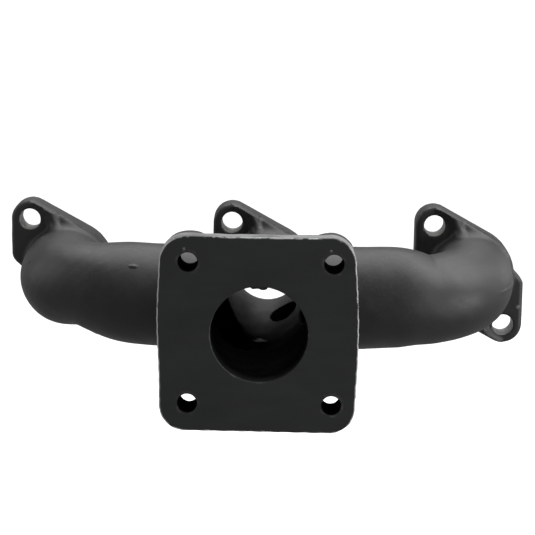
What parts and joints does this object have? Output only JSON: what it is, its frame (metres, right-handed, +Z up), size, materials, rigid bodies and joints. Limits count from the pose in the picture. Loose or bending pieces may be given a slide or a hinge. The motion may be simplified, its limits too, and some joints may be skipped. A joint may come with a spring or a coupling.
{
  "type": "exhaust manifold",
  "caption": "Log-style cast-iron exhaust manifold joining a row of ports to one square flanged outlet.",
  "frame": {"origin": "centre of the middle port on the machined head face", "axes": "+X along the cylinder bank, +Y out of the head face towards the cylinder head, +Z up; the outlet faces -Y"},
  "size_m": [0.2238, 0.105, 0.0766],
  "materials": {
    "cast_iron": "satin black coated cast iron",
    "machined_face": "flat black coated machined cast iron"
  },
  "bodies": {
    "root": {"port_flange_left": "cast_iron", "port_flange_centre": "cast_iron", "port_flange_right": "cast_iron", "runner_left": "cast_iron", "runner_centre": "cast_iron", "runner_right": "cast_iron", "elbow_left": "cast_iron", "elbow_right": "cast_iron", "reducer_left": "cast_iron", "reducer_right": "cast_iron", "log_left": "cast_iron", "log_right": "cast_iron", "collector": "cast_iron", "outlet_neck": "cast_iron", "neck_root": "cast_iron", "outlet_flange": "machined_face", "bolt_pad_upper_left": "cast_iron", "bolt_pad_upper_right": "cast_iron", "bolt_pad_lower_left": "cast_iron", "bolt_pad_lower_right": "cast_iron"}
  },
  "joints": []
}
